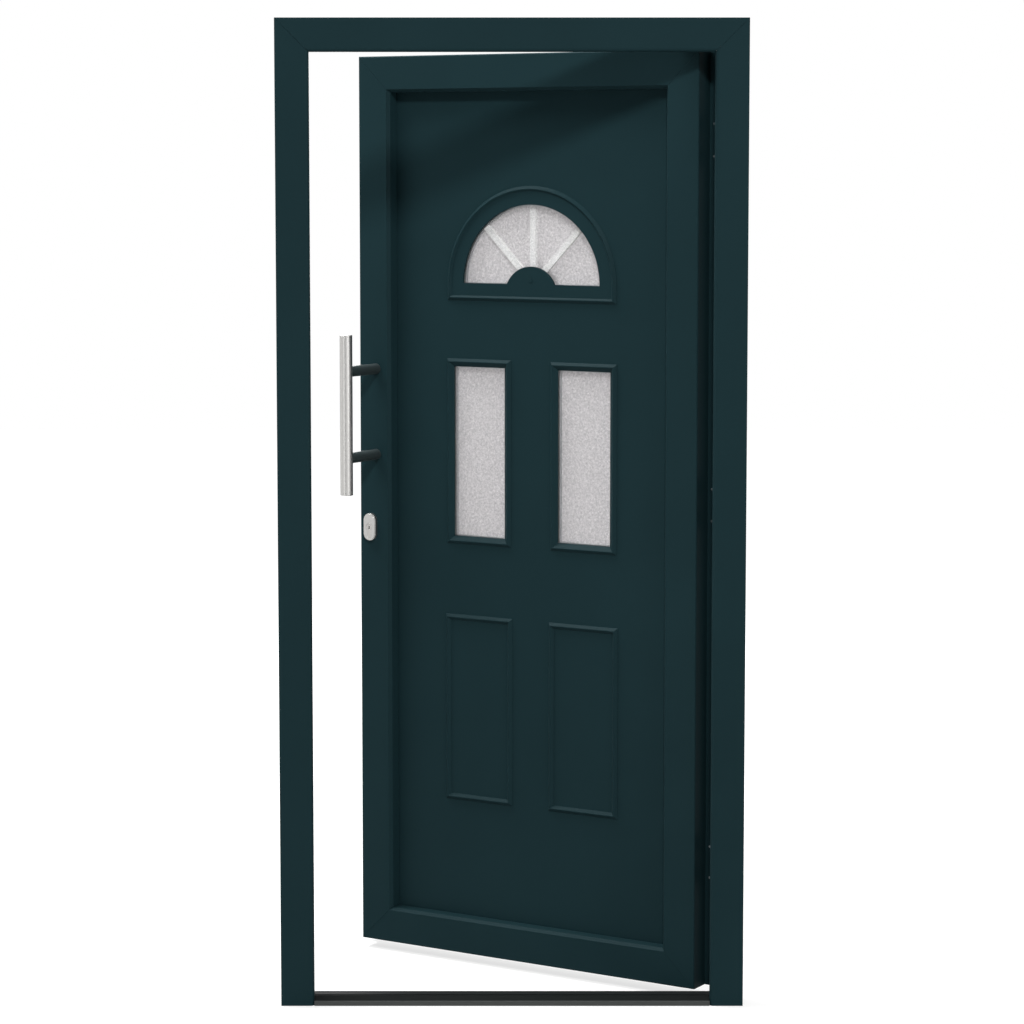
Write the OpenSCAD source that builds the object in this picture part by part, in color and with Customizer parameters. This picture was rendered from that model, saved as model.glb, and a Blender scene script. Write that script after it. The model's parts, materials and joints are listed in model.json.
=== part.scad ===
// PVC front door in its frame: a panel leaf with a fanlight, two lights and two blind fields,
// hung on the right and standing open into the house. X runs right as seen from outside,
// Y runs into the house and Z up. The origin is the middle of the frame's base, on the floor.

/* [Frame] */
// Overall width of the frame
frame_w = 980; // [900:10:1100]
// Overall height of the frame
frame_h = 2080; // [2040:10:2200]
// Depth of the frame profile
frame_depth = 70; // [66:1:82]
// Width of the frame profile seen from outside
frame_face = 70; // [64:1:80]
// Thickness of the outer lip that the leaf closes behind
lip_t = 18; // [16:1:22]
// Reach of the outer lip past the rebate wall
lip_reach = 20; // [18:1:22]
// Rounding of the lip's outside edge
frame_round = 8; // [3:0.5:10]
// Wall of the frame profile
frame_wall = 3; // [2:0.25:3.5]

/* [Threshold] */
// Height of the threshold
sill_h = 18; // [16:1:28]
// Height of the threshold's front edge
sill_front_h = 10; // [6:1:14]
// Height of the threshold's back edge
sill_back_h = 12; // [8:1:14]
// Depth of the ramp behind the front edge
sill_ramp = 16; // [10:1:20]
// Depth of the insulating bar between the two metal sections
sill_break = 10; // [6:1:14]

/* [Leaf] */
// Angle that the leaf stands open
open_angle = 31.25; // [0:0.25:90]
// Depth of the leaf profile
leaf_depth = 70; // [68:1:80]
// How far the leaf's outer face reaches behind the lip
leaf_overlap = 7; // [5:0.5:10]
// Room for the seal between the lip and the leaf
outer_seal = 4; // [3:0.5:6]
// Room for the seal between the frame and the leaf's inner flange
inner_seal = 3; // [2.5:0.5:5]
// How far the inner flange laps over the frame
flange_lap = 8; // [6:0.5:10]
// Width of the leaf profile seen from outside
leaf_face = 80; // [74:1:92]
// Width of the bevel along the profile's edge towards the panel
bevel_w = 6; // [4:0.5:8]
// Depth of that bevel
bevel_d = 8; // [6:0.5:12]
// Width of the steeper slope from the bevel down to the panel
slope_w = 1; // [0.5:0.5:8]
// Room under the leaf, above the threshold
leaf_lift = 3; // [2:0.5:6]
// Rounding of the leaf's edges
leaf_round = 3; // [1:0.5:4]
// Wall of the leaf profile
leaf_wall = 3; // [2:0.25:3.5]

/* [Panel] */
// Depth of the panel's face behind the leaf's face
panel_recess = 33; // [28:1:36]
// Thickness of the panel
panel_t = 24; // [20:1:26]
// Thickness of each facing of the panel
skin_t = 2; // [1:0.25:3]
// Depth of the rebate that holds the panel's edge
rebate = 20; // [16:1:22]
// Room around the panel's edge in the rebate
panel_room = 5; // [3:0.5:6]

/* [Fanlight] */
// Share of the leaf's height under the fanlight's straight lower edge
fan_share = 0.7505; // [0.735:0.0005:0.77]
// Radius of the fanlight's glass
fan_r = 173; // [140:1:190]
// Width of the flat arch between the glass and its ridge
fan_arch = 34; // [28:1:44]
// Drop from the glass to the ridge under it
fan_foot = 32; // [28:1:40]
// Radius of the half-round boss at the fanlight's foot
boss_r = 65.5; // [50:0.5:80]
// Drop from the glass's lower edge to the boss's centre
boss_drop = 26.5; // [10:0.5:40]
// Width of the bars between the panes
fan_bar_w = 14; // [8:1:20]
// Angle between one bar and the next
fan_bar_step = 44; // [36:1:50]

/* [Lights] */
// Width of the glass in each light
light_w = 130; // [100:1:150]
// Height of the glass in each light
light_h = 377; // [300:1:420]
// Share of the leaf's height under the glass of the lights
light_share = 0.469; // [0.445:0.0005:0.485]
// Distance between the glass of the two lights
light_gap = 136; // [110:1:170]

/* [Blind fields] */
// Width of each blind field between its ridges
blind_w = 146; // [120:1:160]
// Height of each blind field between its ridges
blind_h = 392; // [300:1:420]
// Share of the leaf's height under the blind fields
blind_share = 0.1775; // [0.15:0.0005:0.19]

/* [Mouldings] */
// Width of the bevelled ridge on the mouldings
ridge_w = 14; // [10:0.5:18]
// Height of the ridge above the panel
ridge_h = 6; // [6:0.25:8]
// Width of the flat on top of the ridge
ridge_flat = 1.5; // [0.5:0.25:3]
// Height of the fanlight's flat arch above the panel
flat_h = 2; // [1:0.25:4]
// Width of the slope between a light's ridge and its glass
light_slope = 11; // [10:0.5:16]
// Width of the tongue that holds the glass
tongue = 5; // [4.5:0.5:7]

/* [Glass] */
// Thickness of each pane
pane_t = 4; // [3:0.5:5]
// Depth from the panel's face to the pane
pane_set = 4; // [3:0.5:4.5]
// Width of the spacer bar between the panes
spacer_w = 6; // [4:0.5:9]

/* [Pull bar] */
// Diameter of the pull bar
bar_d = 28; // [20:1:30]
// Length of the pull bar
bar_len = 355; // [300:5:600]
// Height from the cylinder to the pull bar's middle
bar_rise = 260; // [245:1:330]
// Distance from the leaf's face to the bar's centre
bar_off = 119; // [80:1:125]
// Distance from the leaf's lock edge to the posts
post_in = 44; // [44:0.5:48]
// Diameter of the posts
post_d = 24; // [14:1:24]
// Distance between the two posts
post_gap = 192; // [190:2:200]
// Diameter of the stud that holds each post
stud_d = 8; // [6:1:10]

/* [Lock] */
// Distance from the leaf's lock edge to the cylinder
backset = 29; // [28:0.5:30]
// Height of the cylinder
cylinder_z = 968; // [940:1:980]
// Height from the cylinder to the lever's spindle
lever_rise = 92; // [90:1:94]
// Width of the lock's long faceplate
plate_w = 16; // [16:1:20]
// Thickness of the lock's long faceplate
plate_t = 3; // [2:0.25:3]
// Height of the lower end of the lock's long faceplate
plate_z = 230; // [200:5:260]
// Drop from the leaf's top to the faceplate's upper end
plate_drop = 147; // [110:1:240]
// Throw of the dead bolt
bolt_throw = 20; // [15:1:20]
// Reach of the latch
latch_reach = 12; // [8:0.5:12]
// Height of the lower hook's pivot
hook_low_z = 340; // [320:5:400]
// Drop from the leaf's top to the upper hook's pivot
hook_drop = 377; // [340:1:450]
// Length of each hook from its pivot
hook_len = 40; // [39:0.5:42]
// Thickness of the strike plates
strike_t = 8; // [6:0.5:8]

/* [Lever] */
// Length of the lever
lever_len = 125; // [100:1:140]
// Distance from the leaf's inner face to the lever's middle
lever_off = 44; // [40:1:56]
// Thickness of the plate under the lever
rose_t = 10; // [8:0.5:12]
// Width of the plate under the lever
rose_w = 32; // [31:0.5:34]

/* [Hinges] */
// Distance from the frame's outer edge to the hinge axis
hinge_in = 30; // [28:0.5:31]
// Distance from the leaf's inner face to the hinge axis
hinge_off = 13; // [13:0.5:16]
// Diameter of the hinge knuckles
knuckle_d = 20; // [18:0.5:20]
// Diameter of the hinge pins
pin_d = 10; // [8:0.5:12]
// Height of each hinge
hinge_h = 100; // [90:2:120]
// Height of the lowest hinge
hinge_z = 240; // [200:10:300]
// Drop from the leaf's top to the foot of the highest hinge
hinge_drop = 237; // [200:1:320]

/* [Fixing] */
// Diameter of the holes for the wall screws
fix_d = 10; // [8:0.5:12]
// Height of the lowest wall screw
fix_z = 160; // [120:10:190]
// Drop from the frame's top to the highest wall screw
fix_drop = 220; // [150:10:280]
// Distance between the two middle wall screws
fix_mid = 640; // [600:10:680]

/* [Hidden] */
$fn = 64;

// Colours as the door shows them
pvc = "#21333a";
rubber = "#15191b";
metal = "#b9b8b6";
dark_metal = "#2b2d2e";
steel = "#8f9598";
glass = "#c9c9cc";
white = "#deded8";
foam = "#d8d2bd";

// Small fits shared by all the pieces
mitre_gap = 0.3;
slide = 0.4;
turn = 0.3;
seat = 0.2;
cut = 1;
wide = 400;

// Frame planes
half_w = frame_w / 2;
front_y = -frame_depth / 2;
back_y = frame_depth / 2;
leg_w = frame_face - lip_reach;
lip_x = half_w - frame_face;
rebate_x = half_w - leg_w;
lip_y = front_y + lip_t;
web = 2.5;
side_cell = 6;
rear_cell = 7.5;
steel_t = 2;
steel_fit = 0.5;
steel_end = 10;

// Seal grooves
groove_w = 3.2;
groove_d = 4;
seal_w = 6;
groove_in = 6;
lip_groove = frame_face - groove_in;
flange_groove = flange_lap / 2 + 1;

// Leaf planes in the closed position
leaf_x = lip_x + leaf_overlap;
leaf_y = lip_y + outer_seal;
leaf_back = leaf_y + leaf_depth;
leaf_z = sill_h + leaf_lift;
leaf_top = frame_h - frame_face + leaf_overlap;
leaf_tall = leaf_top - leaf_z;
flange_out = rebate_x - leaf_x + flange_lap;
flange_y = back_y + inner_seal;
floor_b = leaf_face - rebate;
face_seal = 2;
seal_inset = 2;
packer_w = 60;
panel_y = leaf_y + panel_recess;
panel_back = panel_y + panel_t;
panel_mid = panel_y + panel_t / 2;
panel_x = leaf_x - floor_b - panel_room;
panel_z = leaf_z + floor_b + panel_room;
panel_top = leaf_top - floor_b - panel_room;
sight_x = leaf_x - leaf_face;
sight_z = leaf_z + leaf_face;
sight_top = leaf_top - leaf_face;

// Main cell of the leaf profile, which takes the steel and the lock
cell_b0 = 7;
cell_b1 = floor_b - leaf_wall;
cell_set = 15.5;
cell_y0 = leaf_y + cell_set;
cell_y1 = flange_y - leaf_wall + steel_fit;
lock_y = (cell_y0 + cell_y1) / 2;

// Pull bar
bar_z = cylinder_z + bar_rise;

// Hinge line
axis_x = half_w - hinge_in;
axis_y = leaf_back + hinge_off;

// Lock heights and depths, with b counted inwards from the leaf's lock edge
lever_z = cylinder_z + lever_rise;
lock_x = -leaf_x + backset;
case_t = 16;
case_wall = 1.5;
case_b = plate_t + seat;
case_behind = 20;
case_under = 38;
case_over = 54;
case_d = backset + case_behind - case_b;
case_z = cylinder_z - case_under;
case_top = lever_z + case_over;
bolt_w = 12;
bolt_h = 35;
bolt_rise = 44;
bolt_z = cylinder_z + bolt_rise;
bolt_len = 24;
latch_h = 30;
latch_rise = 35;
latch_z = lever_z + latch_rise;
latch_tail = 18;
hook_t = 8;
hook_w = 12;
hook_nose = 5;
hook_b = 15;
hook_pin = 7;
hook_back = 32;
hook_under = 25;
hook_over = 14;
hook_play = 2;
hook_case_d = hook_back - case_b;
hook_high_z = leaf_top - hook_drop;
hook_zs = [hook_low_z, hook_high_z];
plate_top = leaf_top - plate_drop;
plate_end = 20;
strike_w = 24;
strike_end = 16;
strike_rim = 6;
pocket_d = 14;

// Lock cylinder
plug_d = 13;
barrel_d = 17;
barrel_drop = 19.7;
barrel_foot = 10;
cam_w = 9.5;
cam_r = 14.5;
escutcheon_w = 31.5;
escutcheon_h = 61;
escutcheon_t = 9;
spindle = 8;
hub_d = 20;
neck_d = 18;
grip_t = 12;
grip_h = 20;

// Screws
screw_d = 5;
screw_head = 9;
screw_len = 24;
screw_sink = 2.2;

// Hinges
hinge_t = 5;
knuckle_gap = 0.5;
end_knuckle = hinge_h * 0.28;
hinge_top = leaf_top - hinge_drop;
hinge_zs = [hinge_z, (hinge_z + hinge_top) / 2, hinge_top];
frame_leaf_gap = 5;
hinge_x0 = rebate_x + flange_lap + frame_leaf_gap;
hinge_edge = 4;
hinge_x1 = half_w - hinge_edge;
leaf_hinge_w = 46;
leaf_hinge_x = rebate_x + flange_lap - 2;
hinge_rows = [0.16, 0.84];

// Panel openings
fan_z = leaf_z + fan_share * leaf_tall;
light_z = leaf_z + light_share * leaf_tall;
blind_z = leaf_z + blind_share * leaf_tall;
fan_out = fan_r + fan_arch;
ridge_run = (ridge_w - ridge_flat) / 2;
light_x = (light_gap + light_w) / 2;
light_mid = light_z + light_h / 2;
light_rim = light_slope + ridge_w / 2;
blind_x = (light_gap + light_w) / 2;
blind_mid = blind_z + blind_h / 2;
pane_play = 0.5;
fan_bars = [-1, 0, 1];

// Places a piece that was drawn with the leaf closed at the opening angle
module in_leaf() {
    translate([axis_x, axis_y, 0])
        rotate([0, 0, -open_angle])
            translate([-axis_x, -axis_y, 0])
                children();
}

// Turns an outer piece of the panel into its twin on the inner face
module inner_face() {
    translate([0, 2 * panel_mid, 0])
        mirror([0, 1, 0])
            children();
}

// Extrudes an outline drawn in X and Z towards the outside, back to the plane y_back
module upright(y_back, t) {
    translate([0, y_back, 0])
        rotate([90, 0, 0])
            linear_extrude(height = t)
                children();
}

// Extrudes an outline drawn in Y and Z along X, centred
module lengthways(len) {
    rotate([90, 0, 90])
        linear_extrude(height = len, center = true)
            children();
}

// A rectangle from one corner to the other
module span(x0, y0, x1, y1) {
    translate([x0, y0])
        square([x1 - x0, y1 - y0]);
}

// A box from one corner to the other
module block(low, high) {
    translate(low)
        cube(high - low);
}

// A round hole or rod along Y
module rod_y(x, z, d, y0, y1) {
    translate([x, y0, z])
        rotate([-90, 0, 0])
            cylinder(d = d, h = y1 - y0);
}

// A round hole or rod along X
module rod_x(y, z, d, x0, x1) {
    translate([x0, y, z])
        rotate([0, 90, 0])
            cylinder(d = d, h = x1 - x0);
}

// Removes what lies past a mitre line drawn in X and Z
module mitre_wedge(points) {
    rotate([90, 0, 0])
        linear_extrude(height = wide, center = true)
            polygon(points);
}

// A length of profile whose X is counted inwards from the line z = 0, cut at 45 degrees
module mitre_bar(len, reach_out, reach_in, low, high, gap) {
    shift = gap / sqrt(2);
    near = -reach_out - cut;
    far = reach_in + cut;
    z0 = low ? -reach_out : 0;
    z1 = high ? len + reach_out : len;
    difference() {
        translate([0, 0, z0])
            linear_extrude(height = z1 - z0)
                children();
        if (low)
            mitre_wedge([[near, near + shift], [far, far + shift], [far, near - cut], [near, near - cut]]);
        if (high)
            mitre_wedge([
                [near, len - near - shift], [far, len - far - shift],
                [far, len - near + cut], [near, len - near + cut],
            ]);
    }
}

// Four lengths of profile mitred into a rectangle about the origin
module bar_frame(w, h, reach_in, gap) {
    for (side = [0, 1])
        mirror([side, 0, 0])
            translate([-w / 2, 0, -h / 2])
                mitre_bar(h, 0, reach_in, true, true, gap)
                    children();
    for (side = [0, 1])
        mirror([0, 0, side])
            translate([-w / 2, 0, h / 2])
                rotate([0, 90, 0])
                    mitre_bar(w, 0, reach_in, true, true, gap)
                        children();
}

// A countersunk screw along -Y whose head lies in the plane y = 0
module screw(len) {
    rotate([-90, 0, 0]) {
        translate([0, 0, -len])
            cylinder(d = screw_d, h = len);
        translate([0, 0, -screw_sink])
            cylinder(d1 = screw_d, d2 = screw_head, h = screw_sink);
    }
}

// Frame profile, with X counted inwards from the outer edge
module frame_section() {
    cell_x = frame_wall + side_cell + web;
    cell_y = lip_y - frame_wall + web;
    rear_y = back_y - frame_wall - rear_cell;
    split = leg_w * 0.68;
    difference() {
        union() {
            span(0, front_y, leg_w, back_y);
            span(0, front_y, frame_face - frame_round, lip_y);
            span(0, front_y + frame_round, frame_face, lip_y);
            translate([frame_face - frame_round, front_y + frame_round])
                circle(frame_round);
        }
        span(frame_wall, front_y + frame_wall, split, lip_y - frame_wall);
        span(split + web, front_y + frame_wall, lip_groove, lip_y - frame_wall - groove_d);
        span(frame_wall, cell_y, frame_wall + side_cell, back_y - frame_wall);
        span(cell_x, cell_y, leg_w - frame_wall, rear_y - web);
        span(cell_x, rear_y, leg_w - frame_wall, back_y - frame_wall);
        span(lip_groove - groove_w / 2, lip_y - groove_d, lip_groove + groove_w / 2, lip_y + cut);
    }
}

// Channel of steel that fills the frame's main cell, open towards the wall
module frame_steel_section() {
    x0 = frame_wall + side_cell + web + steel_fit;
    x1 = leg_w - frame_wall - steel_fit;
    y0 = lip_y - frame_wall + web + steel_fit;
    y1 = back_y - frame_wall - rear_cell - web - steel_fit;
    difference() {
        span(x0, y0, x1, y1);
        span(x0 - cut, y0 + steel_t, x1 - steel_t, y1 - steel_t);
    }
}

// Leaf profile, with X counted inwards from the leaf's outer edge
module leaf_section(flange) {
    w = leaf_wall;
    split = floor_b / 2;
    lip_back = panel_y - face_seal;
    face_back = cell_y0 - web;
    rear_y = cell_y1 + leaf_wall + groove_d + 0.5;
    flange_b = flange ? -flange_out : 0;
    bevel_b = leaf_face - slope_w;
    flat_b = bevel_b - bevel_w;
    difference() {
        union() {
            polygon([
                [leaf_round, leaf_y], [flat_b, leaf_y], [bevel_b, leaf_y + bevel_d],
                [leaf_face, lip_back], [leaf_round, lip_back],
            ]);
            translate([leaf_round, leaf_y + leaf_round])
                circle(leaf_round);
            span(0, leaf_y + leaf_round, floor_b, leaf_back);
            if (flange)
                span(flange_b, flange_y, 0, leaf_back);
        }
        span(w, leaf_y + w, split, face_back);
        span(split + web, leaf_y + w, flat_b - w, face_back);
        span(cell_b0, cell_y0, cell_b1, cell_y1);
        span(floor_b, cell_y0, bevel_b - w, lip_back - w);
        span(flange_b + w, rear_y, split - web, leaf_back - w);
        span(split, rear_y, floor_b - w, leaf_back - w);
        if (flange)
            span(-flange_groove_b() - groove_w / 2, flange_y - cut, -flange_groove_b() + groove_w / 2,
                flange_y + groove_d);
    }
}

function flange_groove_b() = flange_out - flange_groove;

// Channel of steel in the leaf's main cell, open towards the leaf's edge
module leaf_steel_section() {
    f = steel_fit;
    difference() {
        span(cell_b0 + f, cell_y0 + f, cell_b1 - f, cell_y1 - f);
        span(cell_b0 - cut, cell_y0 + f + steel_t, cell_b1 - f - steel_t, cell_y1 - f - steel_t);
    }
}

// Lip seal: a stem in its groove and a hollow-looking bulb against the leaf
module frame_gasket_section() {
    bulb_r = (outer_seal - turn) / 2;
    span(lip_groove - groove_w / 2 + seat, lip_y - groove_d + seat,
        lip_groove + groove_w / 2 - seat, lip_y);
    span(lip_groove - seal_w / 2, lip_y, lip_groove + seal_w / 2, lip_y + bulb_r);
    translate([lip_groove, lip_y + bulb_r])
        circle(bulb_r);
}

// Flange seal: a stem in its groove and a bulb against the frame
module leaf_gasket_section() {
    bulb_r = (inner_seal - turn) / 2;
    b = -flange_groove_b();
    span(b - groove_w / 2 + seat, flange_y, b + groove_w / 2 - seat, flange_y + groove_d - seat);
    span(b - seal_w / 2, flange_y - bulb_r, b + seal_w / 2, flange_y);
    translate([b, flange_y - bulb_r])
        circle(bulb_r);
}

// Outline of the whole threshold in Y and Z
module sill_outline() {
    polygon([
        [front_y, 0], [front_y, sill_front_h], [front_y + sill_ramp, sill_h],
        [sill_crest_y(), sill_h], [back_y, sill_back_h], [back_y, 0],
    ]);
}

function sill_crest_y() = back_y - sill_fall;

// Outline of the lock cylinder in X and Z about its plug
module barrel_outline(room) {
    circle(d = barrel_d + 2 * room);
    translate([0, -barrel_drop])
        circle(d = barrel_foot + 2 * room);
    span(-barrel_foot / 2 - room, -barrel_drop, barrel_foot / 2 + room, 0);
}

// A plate outline with half-round ends, upright
module stadium(w, h) {
    square([w, h - w], center = true);
    for (side = [-1, 1])
        translate([0, side * (h - w) / 2])
            circle(d = w);
}

// Room in the lock stile for the cases, and the holes through it for spindle, cylinder and studs
module lock_room() {
    y0 = lock_y - case_t / 2 - seat;
    y1 = lock_y + case_t / 2 + seat;
    block([-leaf_x + plate_t, y0, case_z - seat], [-leaf_x + case_b + case_d + seat, y1, case_top + seat]);
    for (z = hook_zs)
        block([-leaf_x + plate_t, y0, hook_case_z(z) - seat],
            [-leaf_x + case_b + hook_case_d + seat, y1, hook_case_top(z) + seat]);
    translate([lock_x, 0, cylinder_z])
        upright(leaf_back + cut, leaf_depth + 2 * cut)
            barrel_outline(slide);
    rod_y(lock_x, lever_z, neck_d + 2 * turn, lock_y, leaf_back + cut);
    for (z = post_zs())
        rod_y(-leaf_x + post_in, z, stud_d + 2 * seat, leaf_y - cut, stud_end_y() + seat);
}

function hook_case_z(z) = z - hook_under;
function hook_case_top(z) = z + hook_len + hook_over;
function post_zs() = [bar_z - post_gap / 2, bar_z + post_gap / 2];
function stud_end_y() = cell_y1 - steel_fit;
function bar_y() = leaf_y - bar_off;

// Holes through the hinge side, drilled at the plates' screws
module hinge_screw_places(x0, x1, y) {
    for (z = hinge_zs, x = [x0, x1], row = hinge_rows)
        translate([x, y, z + hinge_h * row])
            children();
}

module frame_hinge_places() {
    edge = screw_head;
    hinge_screw_places(hinge_x0 + edge, hinge_x1 - edge, back_y + hinge_t)
        children();
}

module leaf_hinge_places() {
    edge = screw_head;
    hinge_screw_places(leaf_hinge_x - leaf_hinge_w + edge, leaf_hinge_x - edge, leaf_back + hinge_t)
        children();
}

module screw_bore() {
    rod_y(0, 0, screw_d + 2 * seat, -screw_len - cut, cut);
}

// Wall screw holes of one jamb, drilled right through along X
module wall_holes(side) {
    top = frame_h - fix_drop;
    mid = (fix_z + top) / 2;
    y = (lip_y + back_y) / 2 - rear_cell;
    for (z = [fix_z, mid - fix_mid / 2, mid + fix_mid / 2, top])
        rod_x(y, z, fix_d, side * (half_w + rebate_x) / 2 - leg_w, side * (half_w + rebate_x) / 2 + leg_w);
}

// Room behind the strike plates for the dead bolt and the hooks, cut into the rebate wall
module strike_room() {
    y0 = lock_y - bolt_w / 2 - 2 * slide;
    y1 = lock_y + bolt_w / 2 + 2 * slide;
    x0 = -rebate_x - pocket_d;
    x1 = -rebate_x + cut;
    block([x0, y0, bolt_z - bolt_h / 2 - 2 * slide], [x1, y1, bolt_z + bolt_h / 2 + 2 * slide]);
    for (z = hook_zs)
        block([x0, y0, z - hook_b], [x1, y1, z + hook_len]);
}

function strike_zs() = [
    strike_low() + strike_end / 2, strike_high() - strike_end / 2,
    for (z = hook_zs) each [hook_strike_low(z) + strike_end / 2, hook_strike_high(z) - strike_end / 2],
];
function strike_low() = bolt_z - bolt_h / 2 - strike_end - strike_rim;
function strike_high() = latch_z + latch_h / 2 + strike_end + strike_rim;
function hook_strike_low(z) = z - hook_w / 2 - 2 * hook_play - strike_end;
function hook_strike_high(z) = z + hook_len + strike_end + hook_play;

module strike_screw_places() {
    for (z = strike_zs())
        translate([-rebate_x + strike_t, lock_y, z])
            rotate([0, 0, -90])
                children();
}

// Frame

module jamb(side) {
    mirror([side, 0, 0])
        translate([-half_w, 0, 0])
            mitre_bar(frame_h, 0, frame_face, false, true, mitre_gap)
                frame_section();
}

module frame_lock_jamb() {
    color(pvc)
        difference() {
            jamb(0);
            strike_room();
            strike_screw_places() screw_bore();
            wall_holes(-1);
        }
}

module frame_hinge_jamb() {
    color(pvc)
        difference() {
            jamb(1);
            frame_hinge_places() screw_bore();
            wall_holes(1);
        }
}

module frame_head() {
    color(pvc)
        translate([-half_w, 0, frame_h])
            rotate([0, 90, 0])
                mitre_bar(frame_w, 0, frame_face, true, true, mitre_gap)
                    frame_section();
}

module frame_steels() {
    end = steel_end;
    tall = frame_h - frame_face - end;
    color(steel) {
        difference() {
            translate([-half_w, 0, end])
                linear_extrude(height = tall - end)
                    frame_steel_section();
            strike_room();
            strike_screw_places() screw_bore();
            wall_holes(-1);
        }
        difference() {
            mirror([1, 0, 0])
                translate([-half_w, 0, end])
                    linear_extrude(height = tall - end)
                        frame_steel_section();
            frame_hinge_places() screw_bore();
            wall_holes(1);
        }
        translate([-lip_x + end, 0, frame_h])
            rotate([0, 90, 0])
                linear_extrude(height = 2 * (lip_x - end))
                    frame_steel_section();
    }
}

module frame_gasket() {
    color(rubber) {
        for (side = [0, 1])
            mirror([side, 0, 0])
                translate([-half_w, 0, sill_h])
                    mitre_bar(frame_h - sill_h, 0, frame_face, false, true, mitre_gap)
                        frame_gasket_section();
        translate([-half_w, 0, frame_h])
            rotate([0, 90, 0])
                mitre_bar(frame_w, 0, frame_face, true, true, mitre_gap)
                    frame_gasket_section();
    }
}

// Threshold

sill_break_y = -4;
sill_fall = 18;
sill_wall = 2.5;
sill_key = 2;
sill_key_h = 4;

module sill_break_outline(room) {
    span(sill_break_y, 0, sill_break_y + sill_break, sill_h);
    span(sill_break_y - sill_key - room, sill_h / 2 - sill_key_h / 2 - room,
        sill_break_y + sill_break + sill_key + room, sill_h / 2 + sill_key_h / 2 + room);
}

module threshold_outer() {
    groove_pitch = 5;
    rib = 2;
    color(dark_metal)
        lengthways(2 * (lip_x - seat))
            difference() {
                intersection() {
                    sill_outline();
                    span(front_y, 0, sill_break_y, sill_h);
                }
                sill_break_outline(seat / 2);
                span(front_y + 2 * sill_wall, sill_wall,
                    sill_break_y - 2 * sill_wall, sill_front_h - sill_wall);
                for (i = [0:1])
                    span(front_y + sill_ramp + rib + i * groove_pitch, sill_h - rib / 2,
                        front_y + sill_ramp + 2 * rib + i * groove_pitch, sill_h + cut);
            }
}

module threshold_break() {
    color(rubber)
        lengthways(2 * (lip_x - seat))
            sill_break_outline(0);
}

module threshold_inner() {
    color(dark_metal)
        lengthways(2 * (lip_x - seat))
            difference() {
                intersection() {
                    sill_outline();
                    span(sill_break_y + sill_break, 0, back_y, sill_h);
                }
                sill_break_outline(seat / 2);
                span(sill_break_y + sill_break + 2 * sill_wall, sill_wall, back_y - 2 * sill_wall,
                    sill_back_h - 2 * sill_wall);
            }
}

module threshold_end_blocks() {
    w = lip_reach - 2 * seat;
    color(rubber)
        for (side = [-1, 1])
            translate([side * (lip_x + lip_reach / 2), 0, 0])
                lengthways(w)
                    intersection() {
                        sill_outline();
                        span(lip_y, 0, back_y, sill_h);
                    }
}

// Strike plates on the rebate wall

module strike_plate(z0, z1) {
    block([-rebate_x, lock_y - strike_w / 2, z0], [-rebate_x + strike_t, lock_y + strike_w / 2, z1]);
}

module strike_slot(z0, z1) {
    w = bolt_w + 4 * slide;
    block([-rebate_x - cut, lock_y - w / 2, z0], [-rebate_x + strike_t + cut, lock_y + w / 2, z1]);
}

module strike_main() {
    color(metal)
        difference() {
            strike_plate(strike_low(), strike_high());
            strike_slot(bolt_z - bolt_h / 2 - 2 * slide, bolt_z + bolt_h / 2 + 2 * slide);
            strike_slot(latch_z - latch_h / 2 - 2 * slide, latch_z + latch_h / 2 + 2 * slide);
            strike_screw_places() plate_sinks();
        }
}

module strike_hooks() {
    color(metal)
        difference() {
            for (z = hook_zs)
                strike_plate(hook_strike_low(z), hook_strike_high(z));
            for (z = hook_zs)
                strike_slot(z - hook_w / 2 - hook_play, z + hook_len - 2 * hook_play);
            strike_screw_places() plate_sinks();
        }
}

// Hinges: two outer knuckles on the frame, the middle one on the leaf

module knuckle(z0, z1, bore) {
    translate([axis_x, axis_y, z0])
        difference() {
            cylinder(d = knuckle_d, h = z1 - z0);
            translate([0, 0, -cut])
                cylinder(d = bore, h = z1 - z0 + 2 * cut);
        }
}

module plate_sinks() {
    screw_bore();
    rotate([-90, 0, 0])
        translate([0, 0, -screw_sink - seat])
            cylinder(d1 = screw_d + 2 * seat, d2 = screw_head + 2 * seat, h = screw_sink + seat);
}

module hinge_frame_plates() {
    arm = knuckle_d * 0.7;
    color(pvc)
        difference() {
            for (z = hinge_zs) {
                block([hinge_x0, back_y, z], [hinge_x1, back_y + hinge_t, z + hinge_h]);
                for (low = [z, z + hinge_h - end_knuckle])
                    difference() {
                        union() {
                            block([axis_x - arm / 2, back_y, low],
                                [axis_x + arm / 2, axis_y, low + end_knuckle]);
                            translate([axis_x, axis_y, low])
                                cylinder(d = knuckle_d, h = end_knuckle);
                        }
                        translate([axis_x, axis_y, low - cut])
                            cylinder(d = pin_d, h = end_knuckle + 2 * cut);
                    }
            }
            frame_hinge_places() plate_sinks();
        }
}

module hinge_pins() {
    cap = 2;
    color(steel)
        for (z = hinge_zs)
            translate([axis_x, axis_y, z]) {
                cylinder(d = pin_d, h = hinge_h);
                for (end = [-cap, hinge_h])
                    translate([0, 0, end])
                        cylinder(d = knuckle_d - 2, h = cap);
            }
}

module frame_screws() {
    color(steel) {
        frame_hinge_places() screw(screw_len);
        strike_screw_places() screw(screw_len);
    }
}

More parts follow.
